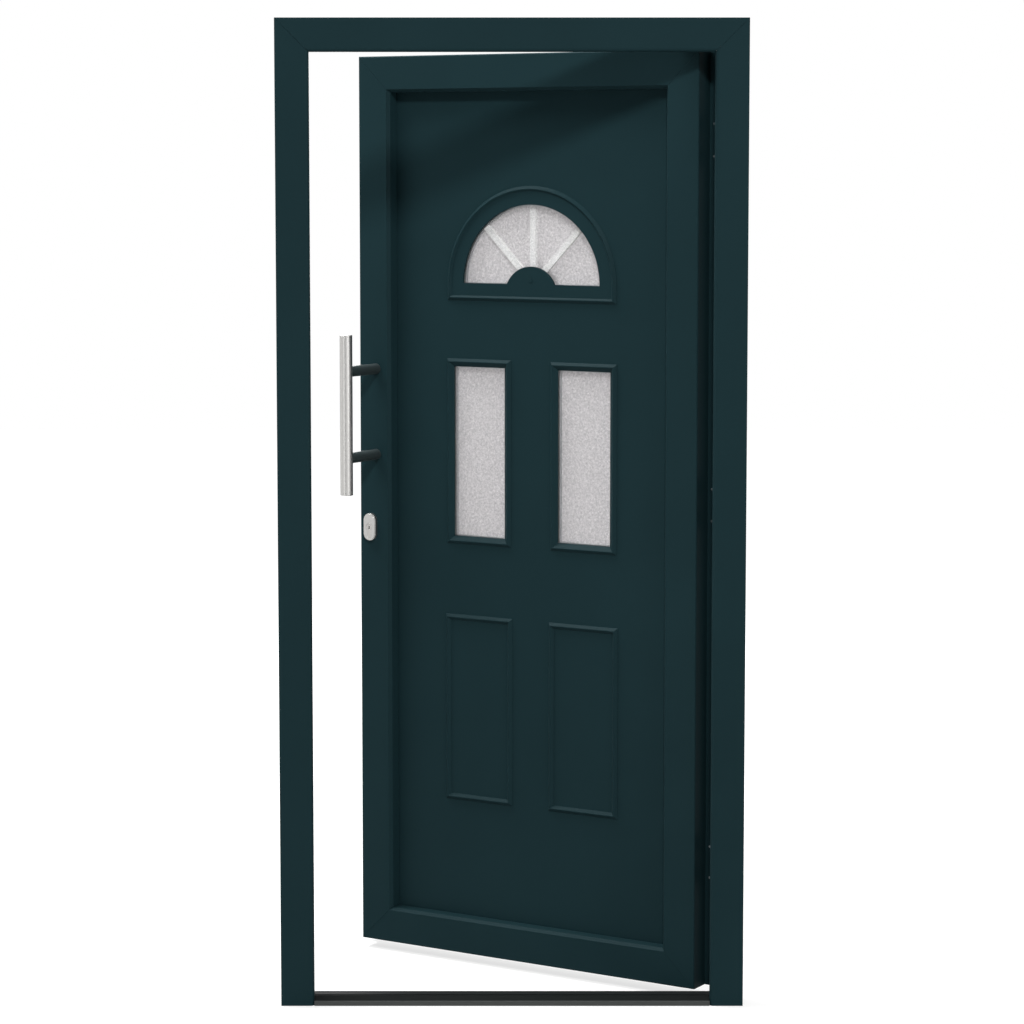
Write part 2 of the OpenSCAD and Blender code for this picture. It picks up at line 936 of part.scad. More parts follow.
module hinge_leaf_plates() {
    arm_t = knuckle_d * 0.4;
    arm_y = axis_y - knuckle_d / 2 + 0.5;
    color(pvc)
        in_leaf()
            difference() {
                for (z = hinge_zs) {
                    low = z + end_knuckle + knuckle_gap;
                    high = z + hinge_h - end_knuckle - knuckle_gap;
                    block([leaf_hinge_x - leaf_hinge_w, leaf_back, z],
                        [leaf_hinge_x, leaf_back + hinge_t, z + hinge_h]);
                    difference() {
                        union() {
                            block([leaf_hinge_x - knuckle_d / 2, leaf_back, low],
                                [leaf_hinge_x, arm_y + arm_t, high]);
                            block([leaf_hinge_x - cut, arm_y, low], [axis_x, arm_y + arm_t, high]);
                            translate([axis_x, axis_y, low])
                                cylinder(d = knuckle_d, h = high - low);
                        }
                        translate([axis_x, axis_y, low - cut])
                            cylinder(d = pin_d + 2 * turn, h = high - low + 2 * cut);
                    }
                }
                leaf_hinge_places() plate_sinks();
            }
}

module leaf_screws() {
    color(steel)
        in_leaf() {
            leaf_hinge_places() screw(screw_len);
            faceplate_screw_places() screw(screw_len);
        }
}

// Leaf profiles

module stile(side) {
    clear = flange_out + cut;
    mirror([side, 0, 0])
        translate([-leaf_x, 0, leaf_z])
            difference() {
                mitre_bar(leaf_tall, flange_out, leaf_face, true, true, mitre_gap)
                    leaf_section(true);
                for (z = [-clear, leaf_tall])
                    block([-clear, -wide / 2, z], [0, wide / 2, z + clear]);
            }
}

module leaf_lock_stile() {
    plate_y = plate_w / 2 + seat;
    color(pvc)
        in_leaf()
            difference() {
                stile(0);
                lock_room();
                block([-leaf_x - cut, lock_y - plate_y, plate_z - seat],
                    [-leaf_x + plate_t, lock_y + plate_y, plate_top + seat]);
                faceplate_screw_places() screw_bore();
            }
}

module leaf_hinge_stile() {
    color(pvc)
        in_leaf()
            difference() {
                stile(1);
                leaf_hinge_places() screw_bore();
            }
}

module leaf_top_rail() {
    color(pvc)
        in_leaf()
            translate([-leaf_x, 0, leaf_top])
                rotate([0, 90, 0])
                    mitre_bar(2 * leaf_x, 0, leaf_face, true, true, mitre_gap)
                        leaf_section(false);
}

module leaf_bottom_rail() {
    color(pvc)
        in_leaf()
            translate([-leaf_x, 0, leaf_z])
                mirror([0, 0, 1])
                    rotate([0, 90, 0])
                        mitre_bar(2 * leaf_x, 0, leaf_face, true, true, mitre_gap)
                            leaf_section(false);
}

module leaf_steels() {
    end = 4;
    low = leaf_z + leaf_face + end;
    rail = 2 * (leaf_x - leaf_face - end);
    color(steel)
        in_leaf() {
            difference() {
                translate([-leaf_x, 0, low])
                    linear_extrude(height = leaf_top - leaf_face - end - low)
                        leaf_steel_section();
                lock_room();
            }
            difference() {
                mirror([1, 0, 0])
                    translate([-leaf_x, 0, low])
                        linear_extrude(height = leaf_top - leaf_face - end - low)
                            leaf_steel_section();
                leaf_hinge_places() screw_bore();
            }
            translate([-rail / 2, 0, leaf_top])
                rotate([0, 90, 0])
                    linear_extrude(height = rail)
                        leaf_steel_section();
            translate([-rail / 2, 0, leaf_z])
                mirror([0, 0, 1])
                    rotate([0, 90, 0])
                        linear_extrude(height = rail)
                            leaf_steel_section();
        }
}

module leaf_gasket() {
    color(rubber)
        in_leaf()
            for (side = [0, 1])
                mirror([side, 0, 0])
                    translate([-leaf_x, 0, leaf_z])
                        linear_extrude(height = leaf_tall)
                            leaf_gasket_section();
}

module bottom_seal() {
    strip_t = 8;
    y = leaf_back - leaf_depth / 2;
    color(rubber)
        in_leaf()
            block([-leaf_x + strip_t, y - strip_t / 2, sill_h + turn],
                [leaf_x - strip_t, y + strip_t / 2, leaf_z]);
}

// Panel

module fan_shape(r, foot) {
    intersection() {
        circle(r);
        span(-r, -foot, r, r);
    }
    if (foot > 0)
        span(-r, -foot, r, 0);
}

module half_disc(r) {
    intersection() {
        circle(r, $fn = 128);
        span(-r - cut, 0, r + cut, r + cut);
    }
}

// Panel outline with its three cut-outs, in X and Z
module panel_outline() {
    difference() {
        span(-panel_x, panel_z, panel_x, panel_top);
        translate([0, fan_z - tongue])
            fan_cutout(0);
        for (side = [-1, 1])
            translate([side * light_x, light_mid])
                square([light_w + 2 * tongue, light_h + 2 * tongue], center = true);
    }
}

// Half-round cut-out for the fanlight's glass, shrunk by room on every side, above z = 0
module fan_cutout(room) {
    intersection() {
        translate([0, tongue])
            circle(fan_r + tongue - room, $fn = 128);
        span(-2 * fan_r, room, 2 * fan_r, 2 * fan_r);
    }
}

module panel_outer_skin() {
    color(pvc)
        in_leaf()
            upright(panel_y + skin_t, skin_t)
                panel_outline();
}

module panel_core() {
    color(foam)
        in_leaf()
            upright(panel_back - skin_t, panel_t - 2 * skin_t)
                panel_outline();
}

module panel_inner_skin() {
    color(pvc)
        in_leaf()
            upright(panel_back, skin_t)
                panel_outline();
}

module panel_gasket() {
    i = seal_inset;
    color(rubber)
        in_leaf()
            upright(panel_y, face_seal)
                difference() {
                    span(-panel_x + i, panel_z + i, panel_x - i, panel_top - i);
                    span(-sight_x - i, sight_z - i, sight_x + i, sight_top + i);
                }
}

module panel_packers() {
    w = packer_w;
    color(dark_metal)
        in_leaf()
            for (side = [-1, 1])
                block([side * panel_x * 0.7 - w / 2, panel_y, panel_z - panel_room],
                    [side * panel_x * 0.7 + w / 2, panel_back, panel_z]);
}

module glazing_beads() {
    bevel = 7;
    toe = 4;
    color(pvc)
        in_leaf()
            translate([0, 0, (leaf_z + leaf_top) / 2])
                bar_frame(2 * leaf_x, leaf_tall, leaf_face, mitre_gap)
                    polygon([
                        [floor_b, panel_back], [leaf_face, panel_back], [leaf_face, panel_back + toe],
                        [leaf_face - bevel, leaf_back], [floor_b, leaf_back],
                    ]);
}

// Mouldings on the panel's face

// Bevelled ridge over the line X = at, with Y counted up from the surface that it stands on
module ridge_outline(at) {
    polygon([
        [at - ridge_w / 2, 0], [at - ridge_flat / 2, ridge_h],
        [at + ridge_flat / 2, ridge_h], [at + ridge_w / 2, 0],
    ]);
}

// Block with four sloping sides: w by h at the plane y0, each side moved in by run at the plane y1
module hipped(w, h, run, y0, y1) {
    intersection() {
        linear_extrude(height = h + 2 * abs(run) + cut, center = true)
            polygon([[-w / 2, y0], [-w / 2 + run, y1], [w / 2 - run, y1], [w / 2, y0]]);
        lengthways(w + 2 * abs(run) + cut)
            polygon([[y0, -h / 2], [y1, -h / 2 + run], [y1, h / 2 - run], [y0, h / 2]]);
    }
}

// Opening that flares out from w by h at the depth y0 by run up to the ridge's top, cut past both ends
module flare(w, h, run, y0) {
    past = 0.25;
    depth = ridge_h + y0;
    far = 1 + 2 * past;
    translate([0, panel_y, 0])
        hipped(w - 2 * past * run, h - 2 * past * run, -far * run,
            y0 + past * depth, y0 - (1 + past) * depth);
}

// The ridge round a field of w by h, standing on the panel
module ridge_loop(w, h) {
    difference() {
        hipped(w + 2 * ridge_w, h + 2 * ridge_w, ridge_run, panel_y, panel_y - ridge_h);
        flare(w, h, ridge_run, 0);
    }
}

// One light's frame: the ridge, the slope down to the glass and the tongue that holds it
module light_frame() {
    rim_w = light_w + 2 * light_rim;
    rim_h = light_h + 2 * light_rim;
    hold = tongue - seat;
    difference() {
        union() {
            hipped(rim_w, rim_h, ridge_run, panel_y, panel_y - ridge_h);
            upright(panel_y + pane_set, pane_set + ridge_h / 2)
                square([light_w + 2 * hold, light_h + 2 * hold], center = true);
        }
        flare(light_w, light_h, light_rim - ridge_run - ridge_flat, 0.6 * pane_set);
        upright(panel_y + pane_set + cut, pane_set + ridge_h + 2 * cut)
            square([light_w, light_h], center = true);
    }
}

module light_pair(x, z) {
    for (side = [-1, 1])
        translate([side * x, 0, z])
            children();
}

module light_frame_pair() {
    light_pair(light_x, light_mid)
        light_frame();
}

module light_frames_outer() {
    color(pvc)
        in_leaf()
            light_frame_pair();
}

module light_frames_inner() {
    color(pvc)
        in_leaf()
            inner_face()
                light_frame_pair();
}

module blind_ridge_pair() {
    light_pair(blind_x, blind_mid)
        ridge_loop(blind_w, blind_h);
}

module blind_ridges_outer() {
    color(pvc)
        in_leaf()
            blind_ridge_pair();
}

module blind_ridges_inner() {
    color(pvc)
        in_leaf()
            inner_face()
                blind_ridge_pair();
}

// Fanlight opening in X and Z about the middle of its lower edge
module fan_opening() {
    difference() {
        half_disc(fan_r);
        translate([0, -boss_drop])
            circle(boss_r);
    }
}

// Flat of the fanlight frame out to the middle of its ridge
module fan_plate() {
    difference() {
        union() {
            half_disc(fan_out);
            span(-fan_out, -fan_foot, fan_out, 0);
        }
        fan_opening();
    }
}

// Ridge over the arch, down both sides and along the foot, standing on the panel
module fan_ridge() {
    reach = fan_out + ridge_w / 2;
    drop = fan_foot + ridge_w / 2;
    translate([0, panel_y, 0])
        rotate([90, 0, 0])
            rotate_extrude(angle = 180, $fn = 128)
                ridge_outline(fan_out);
    difference() {
        ridge_loop(2 * (reach - ridge_w), 2 * (drop - ridge_w));
        block([-reach - cut, panel_y - ridge_h - cut, 0], [reach + cut, panel_y + cut, drop + cut]);
    }
}

module fan_frame() {
    button_d = 10;
    translate([0, 0, fan_z]) {
        upright(panel_y, flat_h)
            fan_plate();
        fan_ridge();
        upright(panel_y + pane_set, pane_set + flat_h / 2)
            difference() {
                translate([0, -tongue])
                    fan_cutout(seat);
                fan_opening();
            }
        rod_y(0, boss_r - boss_drop - 30, button_d, panel_y - flat_h - 1, panel_y);
    }
}

module fanlight_frame_outer() {
    color(pvc)
        in_leaf()
            fan_frame();
}

module fanlight_frame_inner() {
    color(pvc)
        in_leaf()
            inner_face()
                fan_frame();
}

// Glass units, with the patterned pane inside and the bars between the panes

cavity = panel_t - 2 * pane_set - 2 * pane_t;
outer_pane_y = panel_y + pane_set + pane_t;
inner_pane_y = panel_back - pane_set;

module fan_pane(y_back) {
    translate([0, 0, fan_z - tongue])
        upright(y_back, pane_t)
            fan_cutout(pane_play);
}

module light_panes(y_back) {
    room = tongue - pane_play;
    for (side = [-1, 1])
        translate([side * light_x, 0, light_mid])
            upright(y_back, pane_t)
                square([light_w + 2 * room, light_h + 2 * room], center = true);
}

module fanlight_pane_outer() {
    color(glass)
        in_leaf()
            fan_pane(outer_pane_y);
}

module fanlight_pane_inner() {
    color(glass)
        in_leaf()
            fan_pane(inner_pane_y);
}

module fanlight_spacer() {
    color(steel)
        in_leaf()
            translate([0, 0, fan_z - tongue])
                upright(outer_pane_y + cavity, cavity)
                    difference() {
                        fan_cutout(pane_play);
                        fan_cutout(pane_play + spacer_w);
                    }
}

module fanlight_bars() {
    bar_t = cavity - 2 * seat;
    color(white)
        in_leaf()
            translate([0, 0, fan_z - tongue])
                upright(outer_pane_y + cavity - seat, bar_t)
                    intersection() {
                        fan_cutout(pane_play + spacer_w);
                        translate([0, tongue])
                            for (i = fan_bars)
                                rotate(-i * fan_bar_step)
                                    span(-fan_bar_w / 2, 0, fan_bar_w / 2, 2 * fan_r);
                    }
}

module light_panes_outer() {
    color(glass)
        in_leaf()
            light_panes(outer_pane_y);
}

module light_panes_inner() {
    color(glass)
        in_leaf()
            light_panes(inner_pane_y);
}

module light_spacers() {
    w = light_w + 2 * tongue - 2 * pane_play;
    h = light_h + 2 * tongue - 2 * pane_play;
    color(steel)
        in_leaf()
            light_pair(light_x, light_mid)
                upright(outer_pane_y + cavity, cavity)
                    difference() {
                        square([w, h], center = true);
                        square([w - 2 * spacer_w, h - 2 * spacer_w], center = true);
                    }
}

// Pull bar outside

cap_t = 6;
tube_t = 1.5;

module pull_bar() {
    color(metal)
        in_leaf()
            translate([-leaf_x + post_in, bar_y(), bar_z - bar_len / 2 + cap_t])
                difference() {
                    cylinder(d = bar_d, h = bar_len - 2 * cap_t);
                    translate([0, 0, -cut])
                        cylinder(d = bar_d - 2 * tube_t, h = bar_len);
                }
}

module pull_bar_caps() {
    edge = 1;
    plug = 8;
    color(metal)
        in_leaf()
            for (end = [0, 1])
                translate([-leaf_x + post_in, bar_y(), bar_z])
                    mirror([0, 0, end])
                        translate([0, 0, bar_len / 2])
                            rotate_extrude()
                                polygon([
                                    [0, 0], [bar_d / 2 - edge, 0], [bar_d / 2, -edge], [bar_d / 2, -cap_t],
                                    [bar_d / 2 - tube_t - seat, -cap_t],
                                    [bar_d / 2 - tube_t - seat, -cap_t - plug], [0, -cap_t - plug],
                                ]);
}

module pull_posts() {
    thread = 14;
    color(dark_metal)
        in_leaf()
            for (z = post_zs())
                difference() {
                    rod_y(-leaf_x + post_in, z, post_d, bar_y(), leaf_y);
                    translate([-leaf_x + post_in, bar_y(), z - post_d])
                        cylinder(d = bar_d, h = 2 * post_d);
                    rod_y(-leaf_x + post_in, z, stud_d, leaf_y - thread, leaf_y + cut);
                }
}

module post_studs() {
    thread = 14;
    color(steel)
        in_leaf()
            for (z = post_zs())
                rod_y(-leaf_x + post_in, z, stud_d, leaf_y - thread, stud_end_y());
}

// Lock

module escutcheon() {
    edge = 1.5;
    color(metal)
        in_leaf()
            translate([lock_x, 0, cylinder_z])
                difference() {
                    union() {
                        upright(leaf_y, escutcheon_t - edge)
                            stadium(escutcheon_w, escutcheon_h);
                        upright(leaf_y, escutcheon_t)
                            stadium(escutcheon_w - 2 * edge, escutcheon_h - 2 * edge);
                    }
                    upright(leaf_y + cut, escutcheon_t + 2 * cut)
                        barrel_outline(seat);
                }
}

module cylinder_body() {
    y0 = leaf_y - escutcheon_t;
    y1 = leaf_back + rose_t;
    bridge = 16;
    color(metal)
        in_leaf()
            translate([lock_x, 0, cylinder_z])
                difference() {
                    upright(y1, y1 - y0)
                        barrel_outline(0);
                    rod_y(0, 0, plug_d, y0 - cut, y1 + cut);
                    block([-barrel_d, lock_y - cam_w / 2 - slide, -bridge],
                        [barrel_d, lock_y + cam_w / 2 + slide, barrel_d]);
                }
}

module cylinder_plug() {
    y0 = leaf_y - escutcheon_t;
    y1 = leaf_back + rose_t;
    key_w = 2.6;
    key_h = 9;
    key_depth = 25;
    nose_w = 8;
    color(metal)
        in_leaf()
            translate([lock_x, 0, cylinder_z])
                difference() {
                    union() {
                        rod_y(0, 0, plug_d - 2 * turn, y0, y1);
                        upright(lock_y + cam_w / 2, cam_w)
                            span(-nose_w / 2, -cam_r, nose_w / 2, 0);
                    }
                    for (y = [y0 - cut, y1 + cut - key_depth])
                        block([-key_w / 2, y, -plug_d / 2 + turn + 1],
                            [key_w / 2, y + key_depth, key_h - plug_d / 2]);
                }
}

// One slot of the faceplate, with its width across the leaf
module plate_slot(w, z0, z1) {
    block([-leaf_x - cut, lock_y - w / 2, z0], [-leaf_x + plate_t + cut, lock_y + w / 2, z1]);
}

function faceplate_screw_zs() = [
    plate_z + plate_end, hook_low_z + hook_len + 2 * plate_end, case_z - plate_end, case_top + plate_end,
    hook_high_z - 3 * plate_end, plate_top - plate_end,
];

module faceplate_screw_places() {
    for (z = faceplate_screw_zs())
        translate([-leaf_x, lock_y, z])
            rotate([0, 0, 90])
                children();
}

module lock_faceplate() {
    color(metal)
        in_leaf()
            difference() {
                block([-leaf_x, lock_y - plate_w / 2, plate_z],
                    [-leaf_x + plate_t, lock_y + plate_w / 2, plate_top]);
                plate_slot(bolt_w + 2 * slide, bolt_z - bolt_h / 2 - slide, bolt_z + bolt_h / 2 + slide);
                plate_slot(bolt_w + 2 * slide, latch_z - latch_h / 2 - slide,
                    latch_z + latch_h / 2 + slide);
                for (z = hook_zs)
                    plate_slot(hook_t + 2 * slide, z - hook_w / 2 - 2 * slide, z + hook_len + hook_play);
                faceplate_screw_places() plate_sinks();
            }
}

// A hollow sheet-metal box behind the faceplate
module case_shell(depth, z0, z1) {
    w = case_wall;
    difference() {
        block([-leaf_x + case_b, lock_y - case_t / 2, z0],
            [-leaf_x + case_b + depth, lock_y + case_t / 2, z1]);
        block([-leaf_x + case_b + w, lock_y - case_t / 2 + w, z0 + w],
            [-leaf_x + case_b + depth - w, lock_y + case_t / 2 - w, z1 - w]);
    }
}

// A slot through the front wall of a case
module case_slot(w, z0, z1) {
    block([-leaf_x, lock_y - w / 2, z0], [-leaf_x + case_b + case_wall + seat, lock_y + w / 2, z1]);
}

module lock_case() {
    color(steel)
        in_leaf()
            difference() {
                case_shell(case_d, case_z, case_top);
                case_slot(bolt_w + 2 * slide, bolt_z - bolt_h / 2 - slide, bolt_z + bolt_h / 2 + slide);
                case_slot(bolt_w + 2 * slide, latch_z - latch_h / 2 - slide, latch_z + latch_h / 2 + slide);
                translate([lock_x, 0, cylinder_z])
                    upright(lock_y + case_t, 2 * case_t)
                        barrel_outline(slide);
                rod_y(lock_x, lever_z, hub_d - 6, lock_y, lock_y + case_t);
            }
}

module hook_cases() {
    color(steel)
        in_leaf()
            for (z = hook_zs) {
                difference() {
                    case_shell(hook_case_d, hook_case_z(z), hook_case_top(z));
                    case_slot(hook_t + 2 * slide, z - hook_w / 2 - 2 * slide, z + hook_len + hook_play);
                }
                rod_y(-leaf_x + hook_b, z, hook_pin, lock_y - case_t / 2, lock_y + case_t / 2);
            }
}

module dead_bolt() {
    color(metal)
        in_leaf()
            block([-leaf_x + 0.5, lock_y - bolt_w / 2, bolt_z - bolt_h / 2],
                [-leaf_x + bolt_len, lock_y + bolt_w / 2, bolt_z + bolt_h / 2]);
}

// Sprung latch with its slope on the outside, so that closing pushes it in
module latch_bolt() {
    lead = 3;
    color(metal)
        in_leaf()
            translate([-leaf_x, lock_y, latch_z - latch_h / 2])
                linear_extrude(height = latch_h)
                    polygon([
                        [-latch_reach, bolt_w / 2], [-latch_reach, bolt_w / 2 - lead], [0, -bolt_w / 2],
                        [latch_tail, -bolt_w / 2], [latch_tail, bolt_w / 2],
                    ]);
}

// Hooks that swing out of the edge and down behind their strikes
module hook_upper() {
    color(metal)
        in_leaf()
            hook_bolt(hook_high_z);
}

module hook_lower() {
    color(metal)
        in_leaf()
            hook_bolt(hook_low_z);
}

module hook_bolt(z) {
    nose_h = 10;
    translate([-leaf_x + hook_b, 0, z])
        upright(lock_y + hook_t / 2, hook_t)
            difference() {
                union() {
                    circle(d = hook_w);
                    span(-hook_w / 2, 0, hook_w / 2, hook_len);
                    span(-hook_w / 2 - hook_nose, hook_len - nose_h, 0, hook_len);
                }
                circle(d = hook_pin + 2 * turn);
            }
}

// Inside lever

module lever_plate() {
    ends = 36;
    edge = 2;
    high = lever_rise + 2 * ends;
    color(metal)
        in_leaf()
            difference() {
                translate([lock_x, 0, (cylinder_z + lever_z) / 2]) {
                    upright(leaf_back + rose_t - edge, rose_t - edge)
                        stadium(rose_w, high);
                    upright(leaf_back + rose_t, rose_t)
                        stadium(rose_w - 2 * edge, high - 2 * edge);
                }
                translate([lock_x, 0, cylinder_z])
                    upright(leaf_back + rose_t + cut, rose_t + 2 * cut)
                        barrel_outline(seat);
                rod_y(lock_x, lever_z, neck_d + 2 * turn, leaf_back - cut, leaf_back + rose_t + cut);
            }
}

module lever_handle() {
    socket = 30;
    color(metal)
        in_leaf()
            difference() {
                union() {
                    rod_y(lock_x, lever_z, neck_d, leaf_back + 1, leaf_back + lever_off);
                    translate([lock_x, 0, lever_z])
                        upright(leaf_back + lever_off + grip_t / 2, grip_t)
                            translate([lever_len / 2, 0])
                                rotate(90)
                                    stadium(grip_h, lever_len + grip_h);
                }
                block([lock_x - spindle / 2, leaf_back, lever_z - spindle / 2],
                    [lock_x + spindle / 2, leaf_back + socket, lever_z + spindle / 2]);
            }
}

// Square spindle with the follower that it turns inside the lock case
module lever_spindle() {
    socket = 30;
    hub_t = case_t - 2 * case_wall - 2 * turn;
    color(steel)
        in_leaf() {
            block([lock_x - spindle / 2, lock_y, lever_z - spindle / 2],
                [lock_x + spindle / 2, leaf_back + socket, lever_z + spindle / 2]);
            rod_y(lock_x, lever_z, hub_d, lock_y - hub_t / 2, lock_y + hub_t / 2);
        }
}

frame_lock_jamb();
frame_hinge_jamb();
frame_head();
frame_steels();
frame_gasket();
threshold_outer();
threshold_break();
threshold_inner();
threshold_end_blocks();
strike_main();
strike_hooks();
hinge_frame_plates();
hinge_pins();
frame_screws();
leaf_lock_stile();
leaf_hinge_stile();
leaf_top_rail();
leaf_bottom_rail();
leaf_steels();
panel_outer_skin();
panel_core();
panel_inner_skin();
panel_gasket();
panel_packers();
glazing_beads();
fanlight_frame_outer();
fanlight_frame_inner();
light_frames_outer();
light_frames_inner();
blind_ridges_outer();
blind_ridges_inner();
fanlight_pane_outer();
fanlight_pane_inner();
fanlight_spacer();
fanlight_bars();
light_panes_outer();
light_panes_inner();
light_spacers();
leaf_gasket();
bottom_seal();
pull_bar();
pull_bar_caps();
pull_posts();
post_studs();
escutcheon();
cylinder_body();
lock_faceplate();
lock_case();
hook_cases();
lever_plate();
hinge_leaf_plates();
leaf_screws();
lever_handle();
lever_spindle();
latch_bolt();
cylinder_plug();
dead_bolt();
hook_upper();
hook_lower();
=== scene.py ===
"""PVC front door in its frame, standing open: looks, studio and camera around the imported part."""
import json
import math

import bpy
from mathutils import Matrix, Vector

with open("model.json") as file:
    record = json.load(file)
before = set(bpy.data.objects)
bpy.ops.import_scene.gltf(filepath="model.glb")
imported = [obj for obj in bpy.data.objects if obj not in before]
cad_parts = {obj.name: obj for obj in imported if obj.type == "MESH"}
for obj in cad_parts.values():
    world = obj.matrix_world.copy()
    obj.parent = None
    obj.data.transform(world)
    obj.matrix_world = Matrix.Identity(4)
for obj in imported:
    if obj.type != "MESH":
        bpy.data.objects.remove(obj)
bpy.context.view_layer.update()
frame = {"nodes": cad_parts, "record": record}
nodes = frame["nodes"]
scene = bpy.context.scene

MM = 0.001
DOOR_TONE = "#192d31"
# Front face of the threshold, in the part's own frame
SILL_FRONT = -35 * MM
# Places of a colour mix node's sockets
FACTOR, FIRST, SECOND, MIXED = 0, 6, 7, 2
# Rays that find an edge to soften
EDGE_SAMPLES = 4
# Span of a noise that is stretched to full contrast for the glass's flecks
FLECK_LOW, FLECK_HIGH = 0.32, 0.68
# Shares of the light that go through the two kinds of glass
SATIN_SHARE, CLEAR_SHARE = 0.5, 0.95


def srgb(code, factor=1.0):
    """Linear colour with alpha from an sRGB hex code, made lighter or darker by a factor."""
    parts = [int(code[i:i + 2], 16) / 255 for i in (1, 3, 5)]
    flat = [c / 12.92 if c <= 0.04045 else ((c + 0.055) / 1.055) ** 2.4 for c in parts]
    return [min(c * factor, 1.0) for c in flat] + [1.0]


def cells(size):
    """Pattern scale in cells per metre, for cells of a size in millimetres."""
    return 1.0 / (size * MM)


def add(tree, kind, inputs=None, **settings):
    """A new node with its settings; each input is a value or a socket to link from."""
    made = tree.nodes.new(kind)
    for name, value in settings.items():
        setattr(made, name, value)
    for name, value in (inputs or {}).items():
        if isinstance(value, bpy.types.NodeSocket):
            tree.links.new(value, made.inputs[name])
        else:
            made.inputs[name].default_value = value
    return made


def start(name):
    """A new material with an empty tree, and the point in the object's own coordinates."""
    made = bpy.data.materials.new(name)
    made.use_nodes = True
    tree = made.node_tree
    tree.nodes.clear()
    point = add(tree, "ShaderNodeTexCoord").outputs["Object"]
    return made, tree, point


def close(made, tree, shader):
    """Links the shader to the material's output."""
    add(tree, "ShaderNodeOutputMaterial", {"Surface": shader.outputs[0]})
    return made


def pvc_foil():
    """Foil-covered PVC: a satin blue-green grey, with an upright grain that breaks up highlights."""
    made, tree, point = start("satin_pvc_foil")
    cloud = add(tree, "ShaderNodeTexNoise", {
        "Vector": point, "Scale": cells(330), "Detail": 3.0})
    # The foil's grain is about 0.3 mm wide; it is drawn coarser, because the real one is too fine
    grain_sizes = (1.1, 1.1, 3.8)
    along = add(tree, "ShaderNodeVectorMath", {
        0: point, 1: [cells(size) for size in grain_sizes]}, operation="MULTIPLY")
    grain = add(tree, "ShaderNodeTexNoise", {
        "Vector": along.outputs[0], "Scale": 1.0, "Detail": 4.0})
    base = add(tree, "ShaderNodeMix", {
        FACTOR: cloud.outputs["Fac"], FIRST: srgb(DOOR_TONE, factor=0.85),
        SECOND: srgb(DOOR_TONE, factor=1.15)}, data_type="RGBA")
    rough = add(tree, "ShaderNodeMapRange", {
        "Value": grain.outputs["Fac"], "To Min": 0.42, "To Max": 0.52})
    edge = add(tree, "ShaderNodeBevel", {"Radius": 0.8 * MM}, samples=EDGE_SAMPLES)
    bump = add(tree, "ShaderNodeBump", {
        "Height": grain.outputs["Fac"], "Strength": 0.05, "Distance": 0.2 * MM,
        "Normal": edge.outputs[0]})
    return close(made, tree, add(tree, "ShaderNodeBsdfPrincipled", {
        "Base Color": base.outputs[MIXED], "Roughness": rough.outputs[0],
        "Specular IOR Level": 0.03, "Normal": bump.outputs[0]}))


def coated_metal(name, code, roughness):
    """Sprayed satin coat on metal: an even colour with a faint orange-peel ripple."""
    made, tree, point = start(name)
    peel = add(tree, "ShaderNodeTexNoise", {
        "Vector": point, "Scale": cells(1.4), "Detail": 2.0})
    cloud = add(tree, "ShaderNodeTexNoise", {
        "Vector": point, "Scale": cells(50), "Detail": 3.0})
    base = add(tree, "ShaderNodeMix", {
        FACTOR: cloud.outputs["Fac"], FIRST: srgb(code, factor=0.75),
        SECOND: srgb(code, factor=1.25)}, data_type="RGBA")
    edge = add(tree, "ShaderNodeBevel", {"Radius": 0.6 * MM}, samples=EDGE_SAMPLES)
    bump = add(tree, "ShaderNodeBump", {
        "Height": peel.outputs["Fac"], "Strength": 0.06, "Distance": 0.2 * MM,
        "Normal": edge.outputs[0]})
    return close(made, tree, add(tree, "ShaderNodeBsdfPrincipled", {
        "Base Color": base.outputs[MIXED], "Roughness": roughness, "Normal": bump.outputs[0]}))


def brushed(name, code, streak_sizes, low, high):
    """Brushed metal: fine streaks one way that spread the highlight across it."""
    made, tree, point = start(name)
    # Brush streaks are about 0.1 mm wide; they are drawn coarser, because the real ones are too fine
    along = add(tree, "ShaderNodeVectorMath", {
        0: point, 1: [cells(size) for size in streak_sizes]}, operation="MULTIPLY")
    streak = add(tree, "ShaderNodeTexNoise", {
        "Vector": along.outputs[0], "Scale": 1.0, "Detail": 3.0})
    smear = add(tree, "ShaderNodeTexNoise", {
        "Vector": point, "Scale": cells(70), "Detail": 2.0})
    base = add(tree, "ShaderNodeMix", {
        FACTOR: streak.outputs["Fac"], FIRST: srgb(code, factor=0.83),
        SECOND: srgb(code, factor=1.12)}, data_type="RGBA")
    both = add(tree, "ShaderNodeMath", {
        0: streak.outputs["Fac"], 1: smear.outputs["Fac"]}, operation="MULTIPLY")
    rough = add(tree, "ShaderNodeMapRange", {
        "Value": both.outputs[0], "From Max": 0.5, "To Min": low, "To Max": high})
    edge = add(tree, "ShaderNodeBevel", {"Radius": 0.5 * MM}, samples=EDGE_SAMPLES)
    bump = add(tree, "ShaderNodeBump", {
        "Height": streak.outputs["Fac"], "Strength": 0.04, "Distance": 0.1 * MM,
        "Normal": edge.outputs[0]})
    return close(made, tree, add(tree, "ShaderNodeBsdfPrincipled", {
        "Base Color": base.outputs[MIXED], "Metallic": 1.0, "Roughness": rough.outputs[0],
        "Normal": bump.outputs[0]}))


